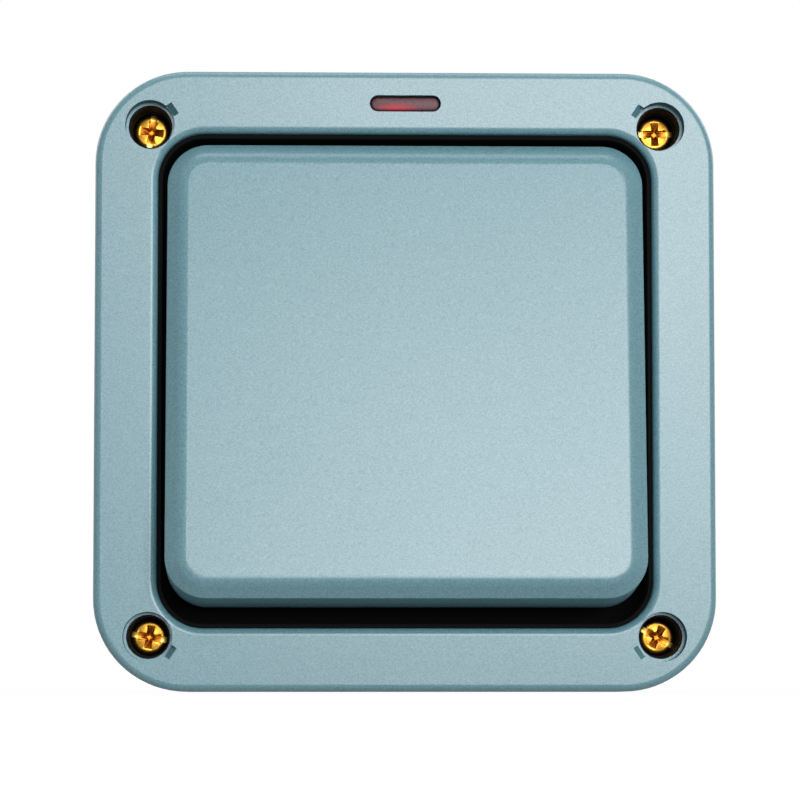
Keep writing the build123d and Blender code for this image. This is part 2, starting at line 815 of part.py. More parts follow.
# Common terminal: its tongue ends in a knife edge between two ears, on which the strip rocks
cradle_half = strip_width / 2 + cradle_play
with BuildPart() as common_terminal:
    add(terminal_solid(0, side_offset))
    with BuildSketch(at_depth(base_face)):
        with Locations((side_offset + block_length / 2, 0)):
            Rectangle(
                side_offset + block_length / 2 + cradle_half + cradle_ear,
                tongue_width,
                align=(Align.MAX, Align.CENTER),
            )
    extrude(amount=tongue_thickness)
    with BuildSketch(Plane.YZ.offset(-cradle_half)):
        with Locations((-rock_depth, 0)):
            Circle(knife_radius)
            Rectangle(rock_depth - tongue_face, 2 * knife_radius, align=(Align.MIN, Align.CENTER))
    extrude(amount=2 * cradle_half)
    with BuildSketch(at_depth(tongue_face)):
        with GridLocations(2 * cradle_half + cradle_ear, 0, 2, 1):
            Rectangle(cradle_ear, 2 * knife_radius)
    extrude(amount=strip_face - tongue_face)
common_terminal.part.label = "common_terminal"

# Neutral terminal, used only by the indicator
with BuildPart() as neutral_terminal:
    add(terminal_solid(180, side_offset))
    with BuildSketch(at_depth(base_face)):
        with Locations((-side_offset, 0)):
            Rectangle(block_length, tongue_width + 2 * tongue_thickness)
    extrude(amount=tongue_thickness)
neutral_terminal.part.label = "neutral_terminal"

# Slotted screws of the four terminals, driven from the back
screw_spots = [(0, row_offset), (0, -row_offset), (side_offset, 0), (-side_offset, 0)]
with BuildPart() as terminal_screws:
    with BuildSketch(at_depth(block_back)):
        with Locations(*screw_spots):
            Circle(terminal_head_radius)
    extrude(amount=-terminal_head_height)
    with BuildSketch(at_depth(block_back)):
        with Locations(*screw_spots):
            Circle(terminal_screw_radius)
    extrude(amount=terminal_screw_reach)
    with BuildSketch(at_depth(block_back - terminal_head_height)):
        with Locations(*screw_spots):
            Rectangle(2 * terminal_head_radius, terminal_slot_width)
    extrude(amount=terminal_slot_depth, mode=Mode.SUBTRACT)
terminal_screws.part.label = "terminal_screws"

# Terminal base: rear moulding with a pocket, a wire entry and a screw opening for each terminal
with BuildPart() as terminal_base:
    with BuildSketch(at_depth(base_back)):
        RectangleRounded(module_width, module_height, module_corner)
    extrude(amount=base_face - base_back)
    for angle, offset, edge in (
        (0, side_offset, module_width / 2),
        (90, row_offset, module_height / 2),
        (180, side_offset, module_width / 2),
        (270, row_offset, module_height / 2),
    ):
        with BuildSketch(at_depth(base_face)):
            with Locations(Rot(0, 0, angle)):
                with Locations((offset, 0)):
                    Rectangle(block_length + 2 * block_clearance, block_width + 2 * block_clearance)
        extrude(amount=-block_depth - block_clearance, mode=Mode.SUBTRACT)
        with BuildSketch(side_plane(angle).offset(offset)):
            with Locations((-wire_depth, 0)):
                Circle(wire_hole_radius + wire_entry_clearance)
        extrude(amount=edge - offset, mode=Mode.SUBTRACT)
    with BuildSketch(at_depth(base_back)):
        with Locations(*screw_spots):
            Circle(terminal_head_radius + wire_entry_clearance)
    extrude(amount=base_rear, mode=Mode.SUBTRACT)
    with BuildSketch(at_depth(base_back)):
        with GridLocations(base_screw_x, base_screw_z, 2, 2):
            Circle(base_screw_radius + base_screw_clearance)
    extrude(amount=base_face - base_back, mode=Mode.SUBTRACT)
    with BuildSketch(at_depth(base_back)):
        with GridLocations(base_screw_x, base_screw_z, 2, 2):
            Circle(base_head_radius + base_screw_clearance)
    extrude(amount=base_head_height, mode=Mode.SUBTRACT)
terminal_base.part.label = "terminal_base"

# Switch body: front moulding of the module, with two ears screwed under the well
ear_front = floor_back - ear_boss_height
with BuildPart() as switch_body:
    with BuildSketch(at_depth(base_face)):
        RectangleRounded(module_width, module_height, module_corner)
    extrude(amount=floor_back - base_face)
    with BuildSketch(at_depth(base_face)):
        Rectangle(module_width - 2 * module_wall, module_height - 2 * module_wall)
    extrude(amount=floor_back - base_face - boot_flange - module_wall, mode=Mode.SUBTRACT)
    with BuildSketch(at_depth(base_face)):
        with GridLocations(base_screw_x, base_screw_z, 2, 2):
            Circle(post_radius)
    extrude(amount=floor_back - base_face - boot_flange)
    with BuildSketch(at_depth(base_face)):
        with GridLocations(base_screw_x, base_screw_z, 2, 2):
            Circle(base_screw_radius + base_screw_clearance)
    extrude(amount=base_screw_reach + screw_tip_gap, mode=Mode.SUBTRACT)
    with BuildSketch(at_depth(floor_back)):
        Circle(boot_flange_radius + boot_hole_clearance)
    extrude(amount=-boot_flange, mode=Mode.SUBTRACT)
    with BuildSketch(at_depth(floor_back)):
        Circle(stem_opening)
    extrude(amount=-(boot_flange + module_wall), mode=Mode.SUBTRACT)
    for side in (1, -1):
        with BuildSketch(at_depth(ear_front)):
            with Locations((side * (module_width / 2 - module_wall / 2), 0)):
                Rectangle(
                    ear_reach + module_wall / 2,
                    ear_width,
                    align=(Align.MIN if side > 0 else Align.MAX, Align.CENTER),
                )
            with Locations((side * ear_centre, 0)):
                Circle(body_screw_radius + screw_hole_clearance, mode=Mode.SUBTRACT)
        extrude(amount=-ear_thickness)
switch_body.part.label = "switch_body"

# Screws that close the module
with BuildPart() as base_screws:
    with BuildSketch(at_depth(base_back)):
        with GridLocations(base_screw_x, base_screw_z, 2, 2):
            Circle(base_head_radius)
    extrude(amount=base_head_height)
    with BuildSketch(at_depth(base_back)):
        with GridLocations(base_screw_x, base_screw_z, 2, 2):
            Circle(base_screw_radius)
    extrude(amount=base_face - base_back + base_screw_reach)
    with BuildSketch(at_depth(base_back)):
        with GridLocations(base_screw_x, base_screw_z, 2, 2):
            Rectangle(2 * base_head_radius, terminal_slot_width)
    extrude(amount=terminal_slot_depth, mode=Mode.SUBTRACT)
base_screws.part.label = "base_screws"

# Screws that hold the module to the cover
with BuildPart() as body_screws:
    with BuildSketch(at_depth(ear_front - ear_thickness)):
        with GridLocations(2 * ear_centre, 0, 2, 1):
            Circle(body_head_radius)
    extrude(amount=-body_head_height)
    with BuildSketch(at_depth(ear_front - ear_thickness)):
        with GridLocations(2 * ear_centre, 0, 2, 1):
            Circle(body_screw_radius)
    extrude(amount=ear_thickness + body_screw_grip)
    with BuildSketch(at_depth(ear_front - ear_thickness - body_head_height)):
        with GridLocations(2 * ear_centre, 0, 2, 1):
            Rectangle(2 * body_head_radius, terminal_slot_width)
    extrude(amount=terminal_slot_depth, mode=Mode.SUBTRACT)
body_screws.part.label = "body_screws"

# Indicator: flanged lens in the window, board on its posts, lamp and resistor on the board
with BuildPart() as indicator_lens:
    with BuildSketch(at_depth(face_back)):
        with Locations((0, lens_over_centre)):
            SlotOverall(lens_length - 2 * lens_clearance, lens_height - 2 * lens_clearance)
    extrude(amount=face_thickness - lens_sink)
    fillet(indicator_lens.faces().sort_by(Axis.Y)[0].edges(), lens_round)
    with BuildSketch(at_depth(face_back)):
        with Locations((0, lens_over_centre)):
            SlotOverall(lens_flange_length, lens_flange_height)
    extrude(amount=-lens_flange)
indicator_lens.part.label = "indicator_lens"

board_front = face_back - board_behind_face
board_back = board_front - board_thickness
with BuildPart() as indicator_board:
    with BuildSketch(at_depth(board_front)):
        with Locations((0, lens_over_centre)):
            Rectangle(board_length, board_height)
            with GridLocations(board_length - board_post_width, 0, 2, 1):
                Circle(board_pin_radius + board_pin_clearance, mode=Mode.SUBTRACT)
    extrude(amount=-board_thickness)
indicator_board.part.label = "indicator_board"

lamp_height = board_behind_face - lens_flange - lamp_gap
with BuildPart() as indicator_lamp:
    with BuildSketch(at_depth(board_front)):
        with Locations((0, lens_over_centre)):
            Circle(lamp_radius)
    extrude(amount=lamp_height - lamp_radius)
    with Locations((0, -(board_front + lamp_height - lamp_radius), lens_over_centre)):
        Sphere(lamp_radius)
indicator_lamp.part.label = "indicator_lamp"

with BuildPart() as board_resistor:
    with BuildSketch(Plane.YZ.offset(resistor_offset - resistor_length / 2)):
        with Locations((-(board_back - resistor_radius), lens_over_centre)):
            Circle(resistor_radius)
    extrude(amount=resistor_length)
board_resistor.part.label = "board_resistor"

# Insulated leads from the back of the board into the live and neutral terminals
lead_z = lens_over_centre - lead_below_lens
lead_side = module_width / 2 + lead_detour
lead_end = wire_depth + wire_hole_radius - lead_radius - lead_clearance
with BuildPart() as live_lead:
    with BuildLine():
        FilletPolyline(
            (0, -board_back, lead_z),
            (0, -lead_end, lead_z),
            (0, -lead_end, row_offset),
            radius=lead_bend,
        )
    with BuildSketch(at_depth(board_back)):
        with Locations((0, lead_z)):
            Circle(lead_radius)
    sweep()
live_lead.part.label = "live_lead"

with BuildPart() as neutral_lead:
    with BuildLine():
        FilletPolyline(
            (-lead_spacing, -board_back, lead_z),
            (-lead_spacing, -lead_end, lead_z),
            (-lead_side, -lead_end, lead_z - lead_side + lead_spacing),
            (-lead_side, -lead_end, 0),
            (-side_offset, -lead_end, 0),
            radius=lead_bend,
        )
    with BuildSketch(at_depth(board_back)):
        with Locations((-lead_spacing, lead_z)):
            Circle(lead_radius)
    sweep()
neutral_lead.part.label = "neutral_lead"

os.makedirs("parts", exist_ok=True)
for piece in (
    back_box,
    lid_gasket,
    front_cover,
    well_seal,
    cover_screws,
    screw_seals,
    threaded_inserts,
    wall_seals,
    earth_terminal,
    earth_screw,
    rocker_cap,
    rocker_carrier,
    rocker_boot,
    plunger,
    plunger_spring,
    contact_strip,
    moving_contacts,
    fixed_contacts,
    l1_terminal,
    l2_terminal,
    common_terminal,
    neutral_terminal,
    terminal_screws,
    terminal_base,
    switch_body,
    base_screws,
    body_screws,
    indicator_lens,
    indicator_board,
    indicator_lamp,
    board_resistor,
    live_lead,
    neutral_lead,
):
    export_step(piece.part, f"parts/{piece.part.label}.step")
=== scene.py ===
# %% [markdown]
# A weatherproof one-gang light switch, dressed for its portrait.
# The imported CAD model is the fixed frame: every node already sits where it belongs and moves with its body.
# What is left to do here is the finish of each piece, the small parts that need finer shapes than the
# drawing has, and a plain studio. Blender works in metres, so sizes are written in millimetres times MM.

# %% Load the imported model
import json
import math

import bmesh
import bpy
from mathutils import Matrix, Vector

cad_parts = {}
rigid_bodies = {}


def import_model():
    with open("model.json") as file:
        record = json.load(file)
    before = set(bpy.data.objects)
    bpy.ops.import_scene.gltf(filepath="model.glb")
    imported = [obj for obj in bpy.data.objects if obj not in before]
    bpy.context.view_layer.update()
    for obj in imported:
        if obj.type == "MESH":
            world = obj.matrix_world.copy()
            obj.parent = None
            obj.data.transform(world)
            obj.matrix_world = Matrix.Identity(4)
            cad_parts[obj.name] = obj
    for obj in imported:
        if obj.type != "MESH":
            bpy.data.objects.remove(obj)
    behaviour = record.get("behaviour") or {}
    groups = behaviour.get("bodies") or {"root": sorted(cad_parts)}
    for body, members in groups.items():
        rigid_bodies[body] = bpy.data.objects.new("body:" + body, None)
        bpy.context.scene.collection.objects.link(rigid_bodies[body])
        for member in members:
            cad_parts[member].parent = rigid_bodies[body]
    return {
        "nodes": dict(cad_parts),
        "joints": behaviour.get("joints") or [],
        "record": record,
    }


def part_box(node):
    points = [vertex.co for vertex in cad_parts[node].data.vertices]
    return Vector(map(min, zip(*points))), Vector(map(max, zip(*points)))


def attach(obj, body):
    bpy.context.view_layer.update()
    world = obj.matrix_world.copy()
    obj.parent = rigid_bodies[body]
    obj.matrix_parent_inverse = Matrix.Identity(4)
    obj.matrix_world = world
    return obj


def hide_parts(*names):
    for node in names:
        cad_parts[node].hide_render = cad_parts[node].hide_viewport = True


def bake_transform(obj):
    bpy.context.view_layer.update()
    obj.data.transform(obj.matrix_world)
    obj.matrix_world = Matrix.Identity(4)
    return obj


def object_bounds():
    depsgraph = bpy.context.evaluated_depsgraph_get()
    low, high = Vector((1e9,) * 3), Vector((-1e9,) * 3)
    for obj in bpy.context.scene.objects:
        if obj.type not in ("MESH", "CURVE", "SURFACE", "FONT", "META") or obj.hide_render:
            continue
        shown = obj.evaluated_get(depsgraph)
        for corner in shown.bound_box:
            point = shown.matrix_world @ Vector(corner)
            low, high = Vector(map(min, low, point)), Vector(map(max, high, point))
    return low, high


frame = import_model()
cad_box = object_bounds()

MM = 0.001
nodes = frame["nodes"]
print("CAD box in mm:", [[round(v / MM, 1) for v in corner] for corner in cad_box])

# %% [markdown]
# Every finish is a small node tree, so three helpers come first. Colours are picked on a screen, which
# makes them sRGB values, while the shaders calculate in linear light: one function converts them. One adds
# any node, sets its properties, and either fills or links its inputs. The last starts an empty material.


# %% Helpers for colours and nodes
def linear(hex_colour):
    """Linear RGBA of an sRGB colour written as #RRGGBB."""
    parts = [int(hex_colour[i : i + 2], 16) / 255 for i in (1, 3, 5)]
    return [p / 12.92 if p <= 0.04045 else ((p + 0.055) / 1.055) ** 2.4 for p in parts] + [1.0]


def add_node(tree, kind, inputs=(), **settings):
    """Add a node: settings are its properties, inputs maps a socket to a value or to a node's output."""
    node = tree.nodes.new(kind)
    for name, value in settings.items():
        setattr(node, name, value)
    for key, value in dict(inputs).items():
        if isinstance(value, bpy.types.NodeSocket):
            tree.links.new(value, node.inputs[key])
        else:
            node.inputs[key].default_value = value
    return node


def new_material(name):
    """An empty node material and its tree."""
    material = bpy.data.materials.new(name)
    material.use_nodes = True
    material.node_tree.nodes.clear()
    return material, material.node_tree


print("white is", [round(v, 2) for v in linear("#FFFFFF")])

# %% [markdown]
# The box, the cover and the rocker are injection-moulded polycarbonate in a grey-teal colour. The mould was
# spark-eroded, which leaves a fine pebbled skin: the eye sees a soft, even sheen, broken up into tiny light
# and dark specks about a quarter of a millimetre across. An image texture could hold that, but a noise
# texture has no seams and keeps its real size on every piece. The same noise drives colour and bump,
# so that a speck that looks lighter is also one that stands proud. Seen at a flat angle, the pebbles hide
# each other's shiny tops and the skin mirrors nothing: Layer Weight finds those angles, and the roughness
# rises there.

# %% Moulded polycarbonate with a spark-eroded skin
POLYCARBONATE_IOR = 1.58
SPARK_GRAIN = 0.26 * MM
SPARK_HEIGHT = 0.02 * MM
FLOW_SIZE = 22 * MM
FLOW_SPREAD = 0.01
FLAT_FROM, FLAT_TO, FLAT_DULLING = 0.55, 0.85, 0.5
# a noise texture seldom leaves this range
NOISE_LOW, NOISE_HIGH = 0.3, 0.7
# the sockets that a Mix node shows for colours
COLOUR_A, COLOUR_B, COLOUR_OUT = 6, 7, 2


def moulded_plastic(name, dark, light, roughness):
    """Pebbled plastic: specks of two colours, a bump, and a gloss that fades at flat angles."""
    material, tree = new_material(name)
    place = add_node(tree, "ShaderNodeTexCoord")
    grain = add_node(
        tree,
        "ShaderNodeTexNoise",
        {"Vector": place.outputs["Object"], "Scale": 1 / SPARK_GRAIN, "Detail": 3.0, "Roughness": 0.6},
    )
    flow = add_node(
        tree,
        "ShaderNodeTexNoise",
        {"Vector": place.outputs["Object"], "Scale": 1 / FLOW_SIZE, "Detail": 2.0},
    )
    speck = add_node(
        tree,
        "ShaderNodeMapRange",
        {"Value": grain.outputs["Fac"], "From Min": NOISE_LOW, "From Max": NOISE_HIGH},
    )
    colour = add_node(
        tree,
        "ShaderNodeMix",
        {0: speck.outputs["Result"], COLOUR_A: linear(dark), COLOUR_B: linear(light)},
        data_type="RGBA",
    )
    gloss = add_node(
        tree,
        "ShaderNodeMapRange",
        {
            "Value": flow.outputs["Fac"],
            "To Min": roughness - FLOW_SPREAD,
            "To Max": roughness + FLOW_SPREAD,
        },
    )
    slant = add_node(tree, "ShaderNodeLayerWeight", {"Blend": 0.5})
    dulling = add_node(
        tree,
        "ShaderNodeMapRange",
        {
            "Value": slant.outputs["Facing"],
            "From Min": FLAT_FROM,
            "From Max": FLAT_TO,
            "To Max": FLAT_DULLING,
        },
    )
    dulled = add_node(
        tree,
        "ShaderNodeMath",
        {0: gloss.outputs["Result"], 1: dulling.outputs["Result"]},
        operation="ADD",
    )
    skin = add_node(
        tree,
        "ShaderNodeBump",
        {"Height": grain.outputs["Fac"], "Strength": 0.5, "Distance": SPARK_HEIGHT},
    )
    shader = add_node(
        tree,
        "ShaderNodeBsdfPrincipled",
        {
            "Base Color": colour.outputs[COLOUR_OUT],
            "Roughness": dulled.outputs["Value"],
            "IOR": POLYCARBONATE_IOR,
            "Normal": skin.outputs["Normal"],
        },
    )
    add_node(tree, "ShaderNodeOutputMaterial", {"Surface": shader.outputs["BSDF"]})
    return material


grey_plastic = moulded_plastic("polycarbonate_spark_eroded_grey", "#568895", "#82AFB9", 0.28)
print("made", grey_plastic.name)

# %% [markdown]
# Inside the box are many plain engineering materials: rubber, brass, steel, acetal and so on. Each has its
# own colour, gloss and grain, but they are all built the same way: two close colours mixed by a noise of a
# real size, with the same noise as a slight bump. One function with a table of finishes keeps that readable.

# %% Finishes of the inner pieces
GRAIN_HEIGHT = 0.01 * MM


def grained(name, dark, light, grain_mm, roughness, metallic=0.0, specular=0.5):
    """A plain finish: two close colours mixed by a noise, which is also a slight bump."""
    material, tree = new_material(name)
    place = add_node(tree, "ShaderNodeTexCoord")
    grain = add_node(
        tree,
        "ShaderNodeTexNoise",
        {"Vector": place.outputs["Object"], "Scale": 1 / (grain_mm * MM), "Detail": 4.0},
    )
    colour = add_node(
        tree,
        "ShaderNodeMix",
        {0: grain.outputs["Fac"], COLOUR_A: linear(dark), COLOUR_B: linear(light)},
        data_type="RGBA",
    )
    skin = add_node(
        tree,
        "ShaderNodeBump",
        {"Height": grain.outputs["Fac"], "Strength": 0.3, "Distance": GRAIN_HEIGHT},
    )
    shader = add_node(
        tree,
        "ShaderNodeBsdfPrincipled",
        {
            "Base Color": colour.outputs[COLOUR_OUT],
            "Roughness": roughness,
            "Metallic": metallic,
            "Specular IOR Level": specular,
            "Normal": skin.outputs["Normal"],
        },
    )
    add_node(tree, "ShaderNodeOutputMaterial", {"Surface": shader.outputs["BSDF"]})
    return material


# grains that are finer in real life are drawn at 0.2 to 0.4 mm, or they would not show
finishes = {
    "grey_textured_plastic": grey_plastic,
    # moulded rubber: almost black, dull, with hardly any sheen
    "black_rubber": grained("epdm_rubber_moulded", "#050606", "#0C0D0E", 0.5, 0.9, specular=0.15),
    # silicone: milky, soft sheen
    "silicone": grained("silicone_moulded", "#9FA5A4", "#B9BEBC", 0.8, 0.5),
    # machined brass: yellow metal with fine turning marks
    "brass": grained("brass_machined", "#B8923F", "#D2AE5C", 0.3, 0.3, 1.0),
    # steel with bright zinc plating: cool silver, slightly blotched
    "zinc_steel": grained("steel_zinc_plated", "#A9B0B6", "#C6CBCF", 0.6, 0.32, 1.0),
    # spring wire: darker drawn steel
    "spring_steel": grained("steel_wire_drawn", "#84888C", "#A5A9AC", 0.2, 0.28, 1.0),
    # acetal: black, waxy
    "black_acetal": grained("acetal_moulded", "#131416", "#212326", 0.4, 0.38),
    # thermoset moulding: warm white, dull
    "white_moulding": grained("urea_moulded_white", "#D8D6CE", "#E8E6DF", 0.7, 0.45),
    # copper alloy strip, rolled
    "contact_copper": grained("copper_alloy_rolled", "#B26A45", "#CB8660", 0.4, 0.34, 1.0),
    # silver contact buttons, pressed
    "contact_silver": grained("silver_pressed", "#C9C9C4", "#E2E2DE", 0.3, 0.25, 1.0),
    # glass-fibre board with green solder mask
    "circuit_board": grained("fibreglass_board_masked", "#1F5A3A", "#2E6F4B", 0.35, 0.4),
    # clear lamp glass, drawn
    "lamp_glass": grained("lamp_glass_drawn", "#D9C3B4", "#EAD9CC", 0.9, 0.12),
    # enamelled resistor body, dipped
    "resistor_enamel": grained("resistor_enamel_dipped", "#B89A6C", "#CDB185", 0.3, 0.35),
    # flexible PVC insulation, extruded
    "brown_insulation": grained("pvc_insulation_brown", "#5A3421", "#6E442E", 0.5, 0.42),
    "blue_insulation": grained("pvc_insulation_blue", "#1F4C8C", "#2F61A3", 0.5, 0.42),
}
for part in frame["record"]["subparts"]:
    if part["material_slot"] in finishes:
        nodes[part["node"]].material_slots[0].material = finishes[part["material_slot"]]
# the cups in the screw recesses are a smoother rubber, black and dull like the other seals; they stand as a
# dark piece for the shade deep in the recesses, so their black is partly painted shade
nodes["screw_seals"].material_slots[0].material = grained(
    "nitrile_rubber_as_recess_shade", "#060707", "#0E0F10", 0.4, 0.7, specular=0.15
)
print("finishes:", len(finishes))

# %% [markdown]
# The cover is held by four yellow screws. Deep in their recesses only the heads show: a low dome with a
# rounded rim, a slot from edge to edge and a cross in the middle, so that either screwdriver fits.
# One screw is turned as a profile spun about its axis, then the drive is cut out with wedge-shaped cutters,
# as a punch would press it. A small bevel rounds every edge, because a sharp edge catches no light.

# %% One cover screw: the turned body
HEAD_RADIUS = 2.85 * MM
CROWN_RADIUS = 2.1 * MM
CROWN_DROP = 0.12 * MM
RIM_ROUND = 0.75 * MM
RIM_STEPS = 6
HEAD_HEIGHT = 2.2 * MM
CORE_RADIUS = 1.5 * MM
THREAD_RADIUS = 1.75 * MM
THREAD_PITCH = 0.6 * MM
SPIN_STEPS = 64
MERGE_DISTANCE = 0.002 * MM
screw_low, screw_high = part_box("cover_screws")
head_top = screw_low.y
head_seat = head_top + HEAD_HEIGHT
screw_tip = screw_high.y


def add_object(name, data):
    """A new object with this data, linked into the scene."""
    added = bpy.data.objects.new(name, data)
    bpy.context.scene.collection.objects.link(added)
    return added


def screw_profile():
    """Half outline of the screw, as radius and place along its axis, from the crown to the tip."""
    points = [(0.0, head_top), (CROWN_RADIUS / 2, head_top + CROWN_DROP / 4)]
    for step in range(RIM_STEPS + 1):
        turn = math.radians(90 * step / RIM_STEPS)
        points.append((
            CROWN_RADIUS + RIM_ROUND * math.sin(turn),
            head_top + CROWN_DROP + RIM_ROUND * (1 - math.cos(turn)),
        ))
    points.append((HEAD_RADIUS, head_seat))
    along = head_seat
    while along + THREAD_PITCH < screw_tip:
        points.append((CORE_RADIUS, along))
        points.append((THREAD_RADIUS, along + THREAD_PITCH / 2))
        along += THREAD_PITCH
    points += [(CORE_RADIUS, along), (CORE_RADIUS, screw_tip), (0.0, screw_tip)]
    return points


shape = bmesh.new()
ring = [shape.verts.new((radius, along, 0)) for radius, along in screw_profile()]
outline = [shape.edges.new(pair) for pair in zip(ring, ring[1:])]
bmesh.ops.spin(
    shape,
    geom=ring + outline,
    cent=(0, 0, 0),
    axis=(0, 1, 0),
    angle=2 * math.pi,
    steps=SPIN_STEPS,
)
bmesh.ops.remove_doubles(shape, verts=shape.verts, dist=MERGE_DISTANCE)
bmesh.ops.recalc_face_normals(shape, faces=shape.faces)
screw = add_object("cover_screw_body", bpy.data.meshes.new("cover_screw_body"))
shape.to_mesh(screw.data)
shape.free()
print("screw body:", len(screw.data.polygons), "faces")

# %% One cover screw: the slot and cross drive
# the slot's cutter is longer than the head is wide, so that the slot runs out on both sides
SLOT_LENGTH = 2.2 * HEAD_RADIUS
SLOT_WIDTH = 0.95 * MM
SLOT_DEPTH = 0.75 * MM
CROSS_LENGTH = 3.7 * MM
CROSS_WIDTH = 1.15 * MM
CROSS_DEPTH = 1.25 * MM
CROSS_FOOT = 0.3
EDGE_ROUND = 0.07 * MM
EDGE_ANGLE = math.radians(50)


def wedge(name, length, width, depth, foot, turn):
    """A cutter that narrows from the crown down to its foot, turned about the screw's axis."""
    lift = RIM_ROUND
    corners = []
    for share, along in ((1 + (1 - foot) * lift / depth, head_top - lift), (foot, head_top + depth)):
        for x, z in ((-1, -1), (1, -1), (1, 1), (-1, 1)):
            a, b = x * length * share / 2, z * width * share / 2
            corners.append((
                a * math.cos(turn) - b * math.sin(turn),
                along,
                a * math.sin(turn) + b * math.cos(turn),
            ))
    sides = [(0, 1, 2, 3), (7, 6, 5, 4)] + [(i, i + 4, (i + 1) % 4 + 4, (i + 1) % 4) for i in range(4)]
    mesh = bpy.data.meshes.new(name)
    mesh.from_pydata(corners, [], sides)
    solid = bmesh.new()
    solid.from_mesh(mesh)
    bmesh.ops.recalc_face_normals(solid, faces=solid.faces)
    solid.to_mesh(mesh)
    solid.free()
    return add_object(name, mesh)


def as_plain_mesh(piece):
    """Put the mesh that a piece's modifiers give in place of them."""
    ready = piece.evaluated_get(bpy.context.evaluated_depsgraph_get())
    mesh = bpy.data.meshes.new_from_object(ready)
    piece.modifiers.clear()
    piece.data = mesh


cutters = [
    wedge("slot_cutter", SLOT_LENGTH, SLOT_WIDTH, SLOT_DEPTH, 1.0, 0.0),
    wedge("cross_cutter_a", CROSS_LENGTH, CROSS_WIDTH, CROSS_DEPTH, CROSS_FOOT, 0.0),
    wedge("cross_cutter_b", CROSS_LENGTH, CROSS_WIDTH, CROSS_DEPTH, CROSS_FOOT, math.pi / 2),
]
for cutter in cutters:
    cut = screw.modifiers.new(cutter.name, "BOOLEAN")
    cut.object = cutter
    cut.operation = "DIFFERENCE"
    cut.solver = "EXACT"
soften = screw.modifiers.new("edge_round", "BEVEL")
soften.width = EDGE_ROUND
soften.segments = 2
soften.limit_method = "ANGLE"
soften.angle_limit = EDGE_ANGLE
as_plain_mesh(screw)
for cutter in cutters:
    bpy.data.objects.remove(cutter)
print("screw with its drive:", len(screw.data.polygons), "faces")

# %% [markdown]
# The screws are plated steel with a yellow chromate finish that looks like polished brass. As a metal it has
# no colour of its own apart from its reflections: bright yellow where it mirrors the lamp, brown to black
# where it mirrors the dark walls of its recess. Fine scratches from the driver break up the shine. In the
# pressed cross an orange-brown is painted shade, and at the ends of the slot a pale yellow is a painted
# highlight. Masks of depth and of distance from the axis mark these places; absolute values fold all four
# screws onto one, so that the same masks serve them all.

# %% Yellow-passivated screw steel: where shade and a highlight are painted
# the depth at which the painted shade in the cross begins; the next two give the painted highlight on the
# slot floor its reach and height
SHADE_FROM_DEPTH = 0.16 * MM
HIGHLIGHT_TO = 2.7 * MM
HIGHLIGHT_HEIGHT = 0.25 * MM
pitch = screw_high.x - screw_low.x - 2 * HEAD_RADIUS
screw_metal, tree = new_material("steel_yellow_passivated")
place = add_node(tree, "ShaderNodeTexCoord")
folded = add_node(tree, "ShaderNodeVectorMath", {0: place.outputs["Object"]}, operation="ABSOLUTE")
from_axis = add_node(
    tree,
    "ShaderNodeVectorMath",
    {0: folded.outputs["Vector"], 1: (pitch / 2, 0, pitch / 2)},
    operation="SUBTRACT",
)
across = add_node(
    tree,
    "ShaderNodeVectorMath",
    {0: from_axis.outputs["Vector"], 1: (1, 0, 1)},
    operation="MULTIPLY",
)
radius = add_node(tree, "ShaderNodeVectorMath", {0: across.outputs["Vector"]}, operation="LENGTH")
along = add_node(tree, "ShaderNodeSeparateXYZ", {"Vector": place.outputs["Object"]})
near_axis = add_node(
    tree,
    "ShaderNodeMath",
    {0: radius.outputs["Value"], 1: CROSS_LENGTH / 2},
    operation="LESS_THAN",
)
sunk = add_node(
    tree,
    "ShaderNodeMath",
    {
        0: along.outputs["Y"],
        1: head_top + (SHADE_FROM_DEPTH + CROSS_DEPTH) / 2,
        2: (CROSS_DEPTH - SHADE_FROM_DEPTH) / 2 + EDGE_ROUND,
    },
    operation="COMPARE",
)
# painted shade: the deep part of the cross, near the axis, is coloured orange-brown
painted_recess_shade = add_node(
    tree,
    "ShaderNodeMath",
    {0: near_axis.outputs["Value"], 1: sunk.outputs["Value"]},
    operation="MULTIPLY",
)
past_cross = add_node(
    tree,
    "ShaderNodeMath",
    {
        0: radius.outputs["Value"],
        1: (CROSS_LENGTH / 2 + HIGHLIGHT_TO) / 2,
        2: (HIGHLIGHT_TO - CROSS_LENGTH / 2) / 2,
    },
    operation="COMPARE",
)
slot_floor = add_node(
    tree,
    "ShaderNodeMath",
    {0: along.outputs["Y"], 1: head_top + SLOT_DEPTH, 2: HIGHLIGHT_HEIGHT},
    operation="COMPARE",
)
# painted highlight: the slot's floor past the cross is coloured a bright pale yellow
painted_slot_highlight = add_node(
    tree,
    "ShaderNodeMath",
    {0: past_cross.outputs["Value"], 1: slot_floor.outputs["Value"]},
    operation="MULTIPLY",
)
print("screw axes", round(pitch / MM, 2), "mm apart")

# %% Yellow-passivated screw steel: colours and gloss
PLATING_DARK, PLATING_LIGHT = "#A8741F", "#C49A42"
# the orange-brown is painted shade for the hollow of the cross
PAINTED_RECESS_SHADE = "#BC6C1E"
# the pale yellow is a painted highlight for the slot's ends
PAINTED_SLOT_HIGHLIGHT = "#DDB558"
# real driver scratches are a tenth as wide; drawn this coarse, they show
SCRATCH_SIZE = 0.35 * MM
SCRATCH_DEPTH = 0.01 * MM
SMOOTHEST, ROUGHEST = 0.26, 0.36
scratches = add_node(
    tree,
    "ShaderNodeTexNoise",
    {"Vector": place.outputs["Object"], "Scale": 1 / SCRATCH_SIZE, "Detail": 4.0},
)
bright = add_node(
    tree,
    "ShaderNodeMix",
    {0: scratches.outputs["Fac"], COLOUR_A: linear(PLATING_DARK), COLOUR_B: linear(PLATING_LIGHT)},
    data_type="RGBA",
)
